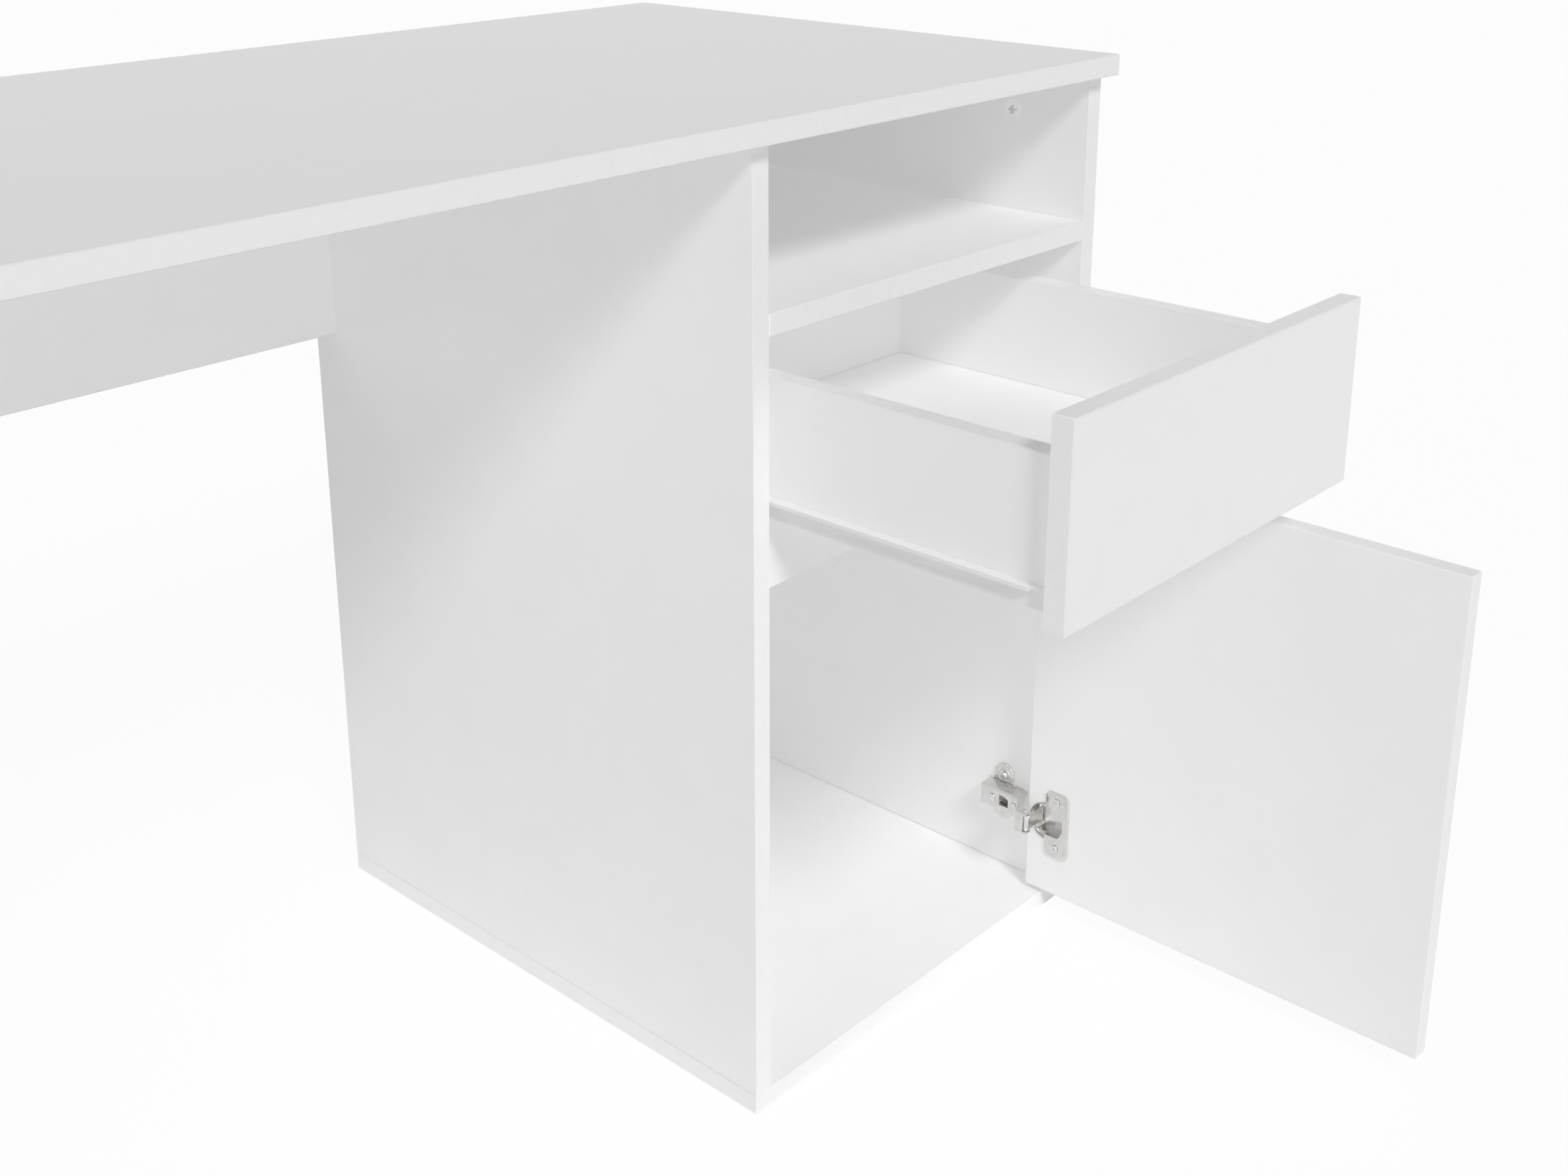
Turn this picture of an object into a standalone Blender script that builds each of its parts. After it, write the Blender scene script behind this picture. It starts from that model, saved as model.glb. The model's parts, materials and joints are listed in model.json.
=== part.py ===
"""White corner desk with a pedestal on the right: an open niche, a drawer on roller
runners and a cupboard door on two concealed hinges. The drawer stands pulled out and
the door stands open by a quarter turn, which is the rest pose.

Metres, +Z up. Sizes are worked out in a desk frame: x = 0 at the right end of the top,
y = 0 at the front edge of its right wing, z = 0 on the floor. SHIFT moves that frame so
that the origin of the scene is the bottom centre of the whole object.
"""

import math

import bmesh
import bpy
from mathutils import Vector

MM = 0.001

# Boards
BOARD = 16 * MM
GAP = 0.3 * MM
EDGE = 0.5 * MM
SHEET = 3 * MM
GROOVE_DEPTH = 6 * MM

# Top
DESK_WIDTH = 1550 * MM
DESK_HEIGHT = 750 * MM
RIGHT_DEPTH = 531.5 * MM
LEFT_DEPTH = 850 * MM
LEFT_WIDTH = 480 * MM
INNER_CORNER_RADIUS = 120 * MM
OVERHANG_FRONT = 13.5 * MM
OVERHANG_SIDE = 4 * MM

# Pedestal
PEDESTAL_WIDTH = 400 * MM
PEDESTAL_DEPTH = 499.5 * MM
BACK_SET_IN = 15 * MM
SHELF_UNDERSIDE = 603 * MM
RAIL_LOW = 410.3 * MM
RAIL_HEIGHT = 55.7 * MM
RAIL_BEHIND_FRONTS = 4 * MM

# Modesty panel
MODESTY_FRONT = 482.5 * MM
MODESTY_LOW = 517.5 * MM

# Drawer
DRAWER_OUT = 238 * MM
FRONT_SIDE_GAP = 1.8 * MM
FRONT_TOP_GAP = 2.5 * MM
FRONT_HEIGHT = 140 * MM
RUNNER_SPACE = 12 * MM
BOX_LOW = 470.5 * MM
BOX_HEIGHT = 100 * MM
BOX_LENGTH = 397 * MM
BOX_BOTTOM_UP = 10.8 * MM

# Runners, across = from the pedestal's inner face towards the drawer side
SHEET_METAL = 1.2 * MM
MEMBER_FLANGE_ACROSS = 4.2 * MM
MEMBER_LIP = 3 * MM
MEMBER_FOOT = 8 * MM
TRACK_LOW = 467 * MM
TRACK_STRIP = 9 * MM
TRACK_LOW_FLANGE = 7.5 * MM
TRACK_HIGH_FLANGE = 3.8 * MM
TRACK_START = 18.5 * MM
TRACK_LENGTH = 396 * MM
ROLLER_RADIUS = 6.5 * MM
ROLLER_WIDTH = 3.4 * MM
AXLE_RADIUS = 2 * MM
AXLE_PLAY = 0.25 * MM
FRONT_ROLLER_ROOM = 2.4 * MM
FRONT_ROLLER_BACK = 31.5 * MM
REAR_ROLLER_FROM_END = 7 * MM
MEMBER_SCREWS = (104 * MM, 188.5 * MM)
TRACK_SCREWS = (60 * MM, 316 * MM)

# Door
DOOR_OPEN = math.radians(90)
DOOR_LOW = 20.5 * MM
DOOR_HEIGHT = 400 * MM
DOOR_GAP = 3 * MM
DOOR_EDGE = 1 * MM
PIVOT_IN = 7.2 * MM
HINGE_FROM_DOOR_END = 69 * MM

# Hinges. They turn the door about one upright axis through the pins in their cups
CUP_FROM_EDGE = 2.5 * MM
CUP_RADIUS = 17.5 * MM
CUP_FLOOR_BOARD = 3.4 * MM
CUP_WALL = 0.7 * MM
CUP_FLANGE = 1.2 * MM
CUP_SLOT_HALF = 12 * MM
CUP_SHELF = 2.6 * MM
FLANGE_WIDTH = 23.5 * MM
FLANGE_HEIGHT = 63 * MM
FLANGE_REACH = 42.5 * MM
CUP_SCREW_BACK = 9.5 * MM
CUP_SCREW_SPREAD = 45 * MM
PIN_RADIUS = 1.25 * MM
PIN_HALF = 10 * MM
PIN_PLAY = 0.2 * MM
LINK_HALF = 6.9 * MM
LINK_THICK = 1.8 * MM
LINK_LENGTH = 21.2 * MM
LINK_RISE = 0.6 * MM
LINK_DISH = 0.9 * MM
KNUCKLE_RADIUS = 3.1 * MM
EYE_RADIUS = 2.2 * MM
PLATE_THICK = 1.8 * MM
PLATE_START = 45 * MM
PLATE_END = 82 * MM
PLATE_WING_HALF = 27.5 * MM
PLATE_WING_RADIUS = 10.2 * MM
PLATE_FLARE = 2.5 * MM
RIDGE_OUT = 8 * MM
RIDGE_START = 48 * MM
RIDGE_END = 76 * MM
WING_SCREW_SPREAD = 32 * MM
WING_Y = 66.5 * MM
ARM_WALL = 1.5 * MM
ARM_FACE_OUT = 17 * MM
ARM_HALF = 9.5 * MM
ARM_END = 80 * MM
ARM_SCREW_FRONT = 45.5 * MM
ARM_SCREW_BACK = 68 * MM
ARM_WINDOW_HALF = 4.9 * MM

# Screws
SCREW_RADIUS = 1.5 * MM
SCREW_TIP = 0.9 * MM

# Cam locks
CAM_RADIUS = 7.3 * MM
CAM_DEPTH = 12 * MM
CAM_DROP = 34 * MM
CAM_FROM_EDGE = 71.7 * MM

# Worked out from the above, in the desk frame
TOP_UNDERSIDE = DESK_HEIGHT - BOARD
PED_RIGHT = -OVERHANG_SIDE
PED_LEFT = PED_RIGHT - PEDESTAL_WIDTH
INNER_RIGHT = PED_RIGHT - BOARD
INNER_LEFT = PED_LEFT + BOARD
PED_FRONT = OVERHANG_FRONT
PED_BACK = PED_FRONT + PEDESTAL_DEPTH
BACK_FACE = PED_BACK - BACK_SET_IN
END_RIGHT = -DESK_WIDTH + OVERHANG_SIDE + BOARD
PIVOT = Vector((INNER_RIGHT - DOOR_GAP - PIVOT_IN, PED_FRONT + PIVOT_IN, 0))
DOOR_WIDTH = INNER_RIGHT - INNER_LEFT - 2 * DOOR_GAP
FRONT_MOST = PIVOT.y + PIVOT_IN - DOOR_WIDTH
SHIFT = Vector((DESK_WIDTH / 2, -(RIGHT_DEPTH + FRONT_MOST) / 2, 0))
BOX_LEFT = INNER_LEFT + RUNNER_SPACE
BOX_RIGHT = INNER_RIGHT - RUNNER_SPACE
FRONT_BACK_FACE = PED_FRONT + BOARD
FRONT_LOW = SHELF_UNDERSIDE - FRONT_TOP_GAP - FRONT_HEIGHT
TRACK_HIGH_FLANGE_UP = SHEET_METAL + 2 * ROLLER_RADIUS + 2 * GAP
TRACK_HIGH = TRACK_LOW + TRACK_HIGH_FLANGE_UP + SHEET_METAL + TRACK_STRIP
MEMBER_TOP = (TRACK_LOW + SHEET_METAL + FRONT_ROLLER_ROOM + 2 * ROLLER_RADIUS + GAP
              + SHEET_METAL)
CUP_IN = CUP_RADIUS + CUP_FROM_EDGE
CUP_DEPTH = BOARD - CUP_FLOOR_BOARD


def clear_scene():
    for obj in list(bpy.data.objects):
        bpy.data.objects.remove(obj, do_unlink=True)


def material(name, colour, roughness, metallic=0.0):
    made = bpy.data.materials.new(name)
    made.use_nodes = True
    surface = made.node_tree.nodes["Principled BSDF"]
    surface.inputs["Base Color"].default_value = (*colour, 1.0)
    surface.inputs["Roughness"].default_value = roughness
    surface.inputs["Metallic"].default_value = metallic
    made.diffuse_color = (*colour, 1.0)
    made.roughness = roughness
    made.metallic = metallic
    return made


def melamine(name):
    return material(name, (0.83, 0.83, 0.83), 0.45)


def steel(name):
    return material(name, (0.62, 0.62, 0.62), 0.25, 1.0)


def empty(name, place):
    made = bpy.data.objects.new(name, None)
    made.empty_display_size = 0.05
    made.location = place
    bpy.context.scene.collection.objects.link(made)
    return made


def finish(name, mesh_builder, origin, surface, parent):
    """Object of the mesh in mesh_builder, whose points are in the desk frame."""
    bmesh.ops.recalc_face_normals(mesh_builder, faces=mesh_builder.faces)
    bmesh.ops.translate(mesh_builder, verts=mesh_builder.verts, vec=-Vector(origin))
    mesh = bpy.data.meshes.new(name)
    mesh_builder.to_mesh(mesh)
    mesh_builder.free()
    obj = bpy.data.objects.new(name, mesh)
    bpy.context.scene.collection.objects.link(obj)
    obj.parent = parent
    obj.location = Vector(origin) - desk_origin(parent)
    if surface:
        mesh.materials.append(surface)
    return obj


def desk_origin(parent):
    """Where the parent's own origin is in the desk frame, with the object shut."""
    return Vector(parent["desk_origin"])


def box_shape(shape, low, high):
    centre = (Vector(low) + Vector(high)) / 2
    size = Vector(high) - Vector(low)
    made = bmesh.ops.create_cube(shape, size=1.0)["verts"]
    bmesh.ops.scale(shape, vec=size, verts=made)
    bmesh.ops.translate(shape, vec=centre, verts=made)


def tube_shape(shape, start, along, radius, length, sides=24, far_radius=None):
    """Cylinder or cone from start, along the direction given."""
    turn = Vector((0, 0, 1)).rotation_difference(Vector(along)).to_matrix()
    far = radius if far_radius is None else far_radius
    rings = []
    for step, size in ((0, radius), (length, far)):
        ring = []
        for i in range(sides):
            angle = 2 * math.pi * i / sides
            spot = Vector((size * math.cos(angle), size * math.sin(angle), step))
            ring.append(shape.verts.new(Vector(start) + turn @ spot))
        rings.append(ring)
    near_ring, far_ring = rings
    shape.faces.new(list(reversed(near_ring)))
    shape.faces.new(far_ring)
    for i in range(sides):
        j = (i + 1) % sides
        shape.faces.new((near_ring[i], near_ring[j], far_ring[j], far_ring[i]))


def prism_shape(shape, outline, start, step):
    """Outline of points swept from start by step."""
    near_face = [shape.verts.new(Vector(p) + Vector(start)) for p in outline]
    far_face = [shape.verts.new(v.co + Vector(step)) for v in near_face]
    shape.faces.new(list(reversed(near_face)))
    shape.faces.new(far_face)
    count = len(outline)
    for i in range(count):
        j = (i + 1) % count
        shape.faces.new((near_face[i], near_face[j], far_face[j], far_face[i]))


def arc(centre, radius, start, end, steps):
    """Points of an arc in the plane, angles in degrees."""
    points = []
    for i in range(steps + 1):
        angle = math.radians(start + (end - start) * i / steps)
        points.append((centre[0] + radius * math.cos(angle),
                       centre[1] + radius * math.sin(angle)))
    return points


def soften(obj, width=EDGE, segments=1):
    bevel = obj.modifiers.new("edge_rounding", "BEVEL")
    bevel.width = width
    bevel.segments = segments
    bevel.limit_method = "ANGLE"
    bevel.angle_limit = math.radians(40)
    return obj


def combine(obj, shape, operation="DIFFERENCE"):
    """Cuts the shape, in the desk frame, out of obj, or joins it to obj."""
    cutter = finish(obj.name + "_" + operation.lower(), shape,
                    desk_origin(obj.parent), None, obj.parent)
    cutter.hide_render = True
    cutter.display_type = "WIRE"
    change = obj.modifiers.new(operation.lower(), "BOOLEAN")
    change.operation = operation
    change.solver = "EXACT"
    change.object = cutter
    return obj


def board(name, low, high, parent, width=EDGE, segments=1):
    shape = bmesh.new()
    box_shape(shape, low, high)
    centre = (Vector(low) + Vector(high)) / 2
    made = finish(name, shape, centre, melamine(name), parent)
    return soften(made, width, segments)


def make_top(carcass):
    left = -DESK_WIDTH
    inner = left + LEFT_WIDTH
    front = RIGHT_DEPTH - LEFT_DEPTH
    radius = INNER_CORNER_RADIUS
    curve = arc((inner + radius, -radius), radius, 90, 180, 12)
    outline = [(0, RIGHT_DEPTH), (0, 0), *curve, (inner, front), (left, front),
               (left, RIGHT_DEPTH)]
    outline.reverse()
    shape = bmesh.new()
    prism_shape(shape, [(x, y, 0) for x, y in outline], (0, 0, TOP_UNDERSIDE),
                (0, 0, BOARD))
    centre = (left / 2, RIGHT_DEPTH / 2, DESK_HEIGHT)
    soften(finish("desktop", shape, centre, melamine("desktop"), carcass))


def cam_places():
    """(name, point on the board's face, direction into the board)."""
    height = TOP_UNDERSIDE - CAM_DROP
    front = PED_FRONT + CAM_FROM_EDGE
    back = PED_BACK - CAM_FROM_EDGE
    end_front = RIGHT_DEPTH - LEFT_DEPTH + PED_FRONT + CAM_FROM_EDGE
    return [
        ("cam_lock_left_front", Vector((INNER_LEFT, front, height)), -1),
        ("cam_lock_left_back", Vector((INNER_LEFT, back, height)), -1),
        ("cam_lock_right_front", Vector((INNER_RIGHT, front, height)), 1),
        ("cam_lock_right_back", Vector((INNER_RIGHT, back, height)), 1),
        ("cam_lock_end_front", Vector((END_RIGHT, end_front, height)), -1),
        ("cam_lock_end_back", Vector((END_RIGHT, back, height)), -1),
    ]


def cam_bores(shape, face_x):
    for _, spot, way in cam_places():
        if abs(spot.x - face_x) < GAP:
            tube_shape(shape, spot - Vector((way * MM, 0, 0)), (way, 0, 0),
                       CAM_RADIUS + GAP, CAM_DEPTH + GAP + MM)


def make_cams(carcass):
    arm = 4.6 * MM
    half = 0.8 * MM
    cross = [(half, half), (arm, half), (arm, -half), (half, -half), (half, -arm),
             (-half, -arm), (-half, -half), (-arm, -half), (-arm, half), (-half, half),
             (-half, arm), (half, arm)]
    for name, spot, way in cam_places():
        shape = bmesh.new()
        start = spot + Vector((way * GAP, 0, 0))
        tube_shape(shape, start, (way, 0, 0), CAM_RADIUS, CAM_DEPTH - GAP)
        made = finish(name, shape, spot, steel(name), carcass)
        slot = bmesh.new()
        outline = [(0, y, z) for y, z in cross]
        prism_shape(slot, outline, start - Vector((way * MM, 0, 0)),
                    (way * 2.5 * MM, 0, 0))
        combine(made, slot)


def runner_screw_pilots(shape, face_x, way):
    """Pilot holes for the screws of the fixed runner, in a pedestal side."""
    for back in TRACK_SCREWS:
        spot = Vector((face_x - way * MM, PED_FRONT + TRACK_START + back, TRACK_HIGH - 4.5 * MM))
        tube_shape(shape, spot, (way, 0, 0), SCREW_RADIUS + GAP, 12 * MM, 12)


def wing_screw_places():
    for end, height in hinge_heights():
        for side, name in ((1, "top"), (-1, "bottom")):
            yield (f"hinge_{end}_plate_screw_{name}",
                   Vector((INNER_RIGHT, WING_Y, height + side * WING_SCREW_SPREAD / 2)))


def make_pedestal(carcass):
    low = BOARD + GAP
    high = TOP_UNDERSIDE - GAP
    right = board("pedestal_side_right", (INNER_RIGHT, PED_FRONT, low),
                  (PED_RIGHT, PED_BACK, high), carcass)
    left = board("pedestal_side_left", (PED_LEFT, PED_FRONT, low),
                 (INNER_LEFT, PED_BACK, high), carcass)
    for side, face_x, way in ((right, INNER_RIGHT, 1), (left, INNER_LEFT, -1)):
        cuts = bmesh.new()
        groove = sorted((face_x - way * MM, face_x + way * GROOVE_DEPTH))
        box_shape(cuts, (groove[0], BACK_FACE - SHEET - GAP, low - MM),
                  (groove[1], BACK_FACE + GAP, high + MM))
        cam_bores(cuts, face_x)
        runner_screw_pilots(cuts, face_x, way)
        if way > 0:
            for _, spot in wing_screw_places():
                tube_shape(cuts, spot - Vector((MM, 0, 0)), (1, 0, 0), SCREW_RADIUS + GAP,
                           12 * MM, 12)
        combine(side, cuts)
    board("pedestal_bottom", (PED_LEFT, PED_FRONT, 0), (PED_RIGHT, PED_BACK, BOARD),
          carcass)
    inner_low = (INNER_LEFT + GAP, PED_FRONT)
    inner_high = (INNER_RIGHT - GAP, BACK_FACE - SHEET - GAP)
    board("niche_shelf", (*inner_low, SHELF_UNDERSIDE),
          (*inner_high, SHELF_UNDERSIDE + BOARD), carcass)
    # Set back behind the drawer front and the door, so that a hand gets in between them
    rail_front = PED_FRONT + BOARD + RAIL_BEHIND_FRONTS
    board("front_rail", (inner_low[0], rail_front, RAIL_LOW),
          (inner_high[0], rail_front + BOARD, RAIL_LOW + RAIL_HEIGHT), carcass)
    tongue = GROOVE_DEPTH - GAP
    board("pedestal_back", (INNER_LEFT - tongue, BACK_FACE - SHEET, low),
          (INNER_RIGHT + tongue, BACK_FACE, high), carcass, 0.2 * MM)


def make_left_support(carcass):
    front = RIGHT_DEPTH - LEFT_DEPTH + PED_FRONT
    end = board("end_panel", (END_RIGHT - BOARD, front, 0),
                (END_RIGHT, PED_BACK, TOP_UNDERSIDE - GAP), carcass)
    cuts = bmesh.new()
    cam_bores(cuts, END_RIGHT)
    combine(end, cuts)
    board("modesty_panel", (END_RIGHT + GAP, MODESTY_FRONT, MODESTY_LOW),
          (PED_LEFT - GAP, MODESTY_FRONT + BOARD, TOP_UNDERSIDE - GAP), carcass)


def member_screw_heights():
    return MEMBER_TOP - 9 * MM


def make_drawer(slide):
    """The drawer shut; its parent empty pulls it out."""
    face = FRONT_BACK_FACE
    front = board("drawer_front",
                  (INNER_LEFT + FRONT_SIDE_GAP, PED_FRONT, FRONT_LOW),
                  (INNER_RIGHT - FRONT_SIDE_GAP, face, FRONT_LOW + FRONT_HEIGHT), slide)
    start = face + GAP
    end = start + BOX_LENGTH
    high = BOX_LOW + BOX_HEIGHT
    left = board("drawer_side_left", (BOX_LEFT, start, BOX_LOW),
                 (BOX_LEFT + BOARD, end, high), slide)
    right = board("drawer_side_right", (BOX_RIGHT - BOARD, start, BOX_LOW),
                  (BOX_RIGHT, end, high), slide)
    back = board("drawer_back", (BOX_LEFT + BOARD + GAP, end - BOARD, BOX_LOW),
                 (BOX_RIGHT - BOARD - GAP, end, high), slide)
    bottom_low = (BOX_LEFT + BOARD - GROOVE_DEPTH, face - GROOVE_DEPTH,
                  BOX_LOW + BOX_BOTTOM_UP)
    bottom_high = (BOX_RIGHT - BOARD + GROOVE_DEPTH, end - BOARD + GROOVE_DEPTH,
                   BOX_LOW + BOX_BOTTOM_UP + SHEET)
    play = Vector((GAP, GAP, GAP))
    for piece in (front, left, right, back):
        cuts = bmesh.new()
        box_shape(cuts, Vector(bottom_low) - play, Vector(bottom_high) + play)
        if piece in (left, right):
            way = 1 if piece is left else -1
            face_x = BOX_LEFT if piece is left else BOX_RIGHT
            for back_by in MEMBER_SCREWS:
                spot = Vector((face_x - way * MM, face + back_by, member_screw_heights()))
                tube_shape(cuts, spot, (way, 0, 0), SCREW_RADIUS + GAP, 11 * MM, 12)
        combine(piece, cuts)
    board("drawer_bottom", bottom_low, bottom_high, slide, 0.2 * MM)


def runner_sides():
    """(name, x of the pedestal's inner face, direction across towards the drawer)."""
    return (("left", INNER_LEFT, 1), ("right", INNER_RIGHT, -1))


def section(outline, face_x, way, y):
    """Points of a runner's section, given as (across, height) pairs."""
    return [(face_x + way * across, y, height) for across, height in outline]


def make_runners(carcass, slide):
    leg = RUNNER_SPACE - GAP
    inner_leg = leg - SHEET_METAL
    foot_low = BOX_LOW - GAP - SHEET_METAL
    lip_in = MEMBER_FLANGE_ACROSS + SHEET_METAL
    member = [
        (inner_leg, foot_low),
        (RUNNER_SPACE + MEMBER_FOOT, foot_low),
        (RUNNER_SPACE + MEMBER_FOOT, foot_low + SHEET_METAL),
        (leg, foot_low + SHEET_METAL),
        (leg, MEMBER_TOP),
        (MEMBER_FLANGE_ACROSS, MEMBER_TOP),
        (MEMBER_FLANGE_ACROSS, MEMBER_TOP - MEMBER_LIP),
        (lip_in, MEMBER_TOP - MEMBER_LIP),
        (lip_in, MEMBER_TOP - SHEET_METAL),
        (inner_leg, MEMBER_TOP - SHEET_METAL),
    ]
    web = GAP + SHEET_METAL
    upper = TRACK_LOW + TRACK_HIGH_FLANGE_UP
    track = [
        (GAP, TRACK_LOW),
        (TRACK_LOW_FLANGE, TRACK_LOW),
        (TRACK_LOW_FLANGE, TRACK_LOW + SHEET_METAL),
        (web, TRACK_LOW + SHEET_METAL),
        (web, upper),
        (TRACK_HIGH_FLANGE, upper),
        (TRACK_HIGH_FLANGE, upper + SHEET_METAL),
        (web, upper + SHEET_METAL),
        (web, TRACK_HIGH),
        (GAP, TRACK_HIGH),
    ]
    front_roller = Vector((0, PED_FRONT + FRONT_ROLLER_BACK,
                           MEMBER_TOP - SHEET_METAL - GAP - ROLLER_RADIUS))
    member_end = FRONT_BACK_FACE + BOX_LENGTH
    rear_roller = Vector((0, member_end - REAR_ROLLER_FROM_END,
                          TRACK_LOW + SHEET_METAL + GAP + ROLLER_RADIUS))
    coated = (0.80, 0.80, 0.80)
    for name, face_x, way in runner_sides():
        across = Vector((way, 0, 0))

        shape = bmesh.new()
        flange_end = member_end - 2 * REAR_ROLLER_FROM_END - 3 * MM
        start = FRONT_BACK_FACE + 2 * MM
        prism_shape(shape, section(member, face_x, way, start), (0, 0, 0),
                    (0, flange_end - start, 0))
        made = finish(f"drawer_runner_{name}", shape,
                      (face_x + way * leg, start, MEMBER_TOP),
                      material(f"drawer_runner_{name}", coated, 0.35), slide)
        # Behind the flange only the leg goes on, and it carries the rear roller's axle.
        tail = bmesh.new()
        inside = face_x + way * inner_leg
        outside = face_x + way * leg
        box_shape(tail, (min(inside, outside), flange_end - MM, foot_low),
                  (max(inside, outside), member_end, MEMBER_TOP))
        combine(made, tail, "UNION")
        stub = bmesh.new()
        tube_shape(stub, rear_roller + Vector((face_x, 0, 0)) + across * 2 * MM, across,
                   AXLE_RADIUS, inner_leg - 2 * MM + SHEET_METAL / 2, 16)
        holes = bmesh.new()
        for back_by in MEMBER_SCREWS:
            spot = Vector((face_x, FRONT_BACK_FACE + back_by, member_screw_heights()))
            tube_shape(holes, spot + across * (inner_leg - MM), across, 2.2 * MM,
                       SHEET_METAL + 2 * MM, 12)
        combine(made, stub, "UNION")
        combine(made, holes)

        shape = bmesh.new()
        start = PED_FRONT + TRACK_START
        prism_shape(shape, section(track, face_x, way, start), (0, 0, 0),
                    (0, TRACK_LENGTH, 0))
        made = finish(f"fixed_runner_{name}", shape, (face_x, start, TRACK_LOW),
                      material(f"fixed_runner_{name}", coated, 0.35), carcass)
        stub = bmesh.new()
        reach = MEMBER_FLANGE_ACROSS + SHEET_METAL + 0.5 * MM + ROLLER_WIDTH
        tube_shape(stub, front_roller + Vector((face_x, 0, 0)) + across * (web - 0.6 * MM),
                   across, AXLE_RADIUS, reach - web + 0.6 * MM, 16)
        combine(made, stub, "UNION")
        holes = bmesh.new()
        for back_by in TRACK_SCREWS:
            spot = Vector((face_x, start + back_by, TRACK_HIGH - 4.5 * MM))
            tube_shape(holes, spot - across * MM, across, 2.2 * MM, 3.5 * MM, 12)
        combine(made, holes)

        outer = MEMBER_FLANGE_ACROSS + SHEET_METAL + 0.5 * MM
        make_roller(f"fixed_roller_{name}", front_roller, face_x, way, outer, carcass)
        make_roller(f"drawer_roller_{name}", rear_roller, face_x, way, 2.2 * MM, slide)

        for i, back_by in enumerate(MEMBER_SCREWS):
            spot = Vector((face_x, FRONT_BACK_FACE + back_by, member_screw_heights()))
            screw(f"drawer_runner_{name}_screw_{i + 1}", spot + across * (inner_leg - GAP),
                  across, 3.2 * MM, 0.5 * MM, 10 * MM, slide)
        for i, back_by in enumerate(TRACK_SCREWS):
            spot = Vector((face_x, start + back_by, TRACK_HIGH - 4.5 * MM))
            screw(f"fixed_runner_{name}_screw_{i + 1}", spot + across * (web + GAP),
                  -across, 3 * MM, 1.4 * MM, 11 * MM, carcass)


def make_roller(name, centre, face_x, way, across_from, parent):
    start = centre + Vector((face_x + way * across_from, 0, 0))
    shape = bmesh.new()
    tube_shape(shape, start, (way, 0, 0), ROLLER_RADIUS, ROLLER_WIDTH, 32)
    made = finish(name, shape, start + Vector((way * ROLLER_WIDTH / 2, 0, 0)),
                  material(name, (0.78, 0.78, 0.76), 0.4), parent)
    hole = bmesh.new()
    tube_shape(hole, start - Vector((way * MM, 0, 0)), (way, 0, 0),
               AXLE_RADIUS + AXLE_PLAY, ROLLER_WIDTH + 2 * MM, 16)
    combine(made, hole)


def screw(name, seat, into, head_radius, head_height, length, parent):
    """Screw whose head sits on seat, with its shank going in the direction given."""
    into = Vector(into)
    shape = bmesh.new()
    tube_shape(shape, seat, into, SCREW_RADIUS, length, 10, SCREW_TIP)
    made = finish(name, shape, seat, steel(name), parent)
    head = bmesh.new()
    tube_shape(head, seat - into * head_height, into, head_radius * 0.8,
               head_height + 0.02 * MM, 16, head_radius)
    return combine(made, head, "UNION")


def hinge_heights():
    return (("lower", DOOR_LOW + HINGE_FROM_DOOR_END),
            ("upper", DOOR_LOW + DOOR_HEIGHT - HINGE_FROM_DOOR_END))


def make_door(axis):
    """The door shut; its parent empty turns it open about the hinges' axis."""
    right = INNER_RIGHT - DOOR_GAP
    inner = PED_FRONT + BOARD
    door = board("door", (right - DOOR_WIDTH, PED_FRONT, DOOR_LOW),
                 (right, inner, DOOR_LOW + DOOR_HEIGHT), axis, DOOR_EDGE, 2)
    cuts = bmesh.new()
    cup_x = right - CUP_IN
    screw_x = cup_x - CUP_SCREW_BACK
    for end, height in hinge_heights():
        tube_shape(cuts, (cup_x, inner + MM, height), (0, -1, 0), CUP_RADIUS + GAP,
                   CUP_DEPTH + GAP + MM, 40)
        for side in (1, -1):
            spot = (screw_x, inner + MM, height + side * CUP_SCREW_SPREAD / 2)
            tube_shape(cuts, spot, (0, -1, 0), SCREW_RADIUS + GAP, 11 * MM, 12)
        make_cup(end, cup_x, right, inner, height, axis)
        for side, name in ((1, "top"), (-1, "bottom")):
            seat = Vector((screw_x, inner + GAP + CUP_FLANGE + GAP,
                           height + side * CUP_SCREW_SPREAD / 2))
            screw(f"hinge_{end}_cup_screw_{name}", seat, (0, -1, 0), 3.6 * MM,
                  0.5 * MM, 10 * MM, axis)
    combine(door, cuts)


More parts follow.
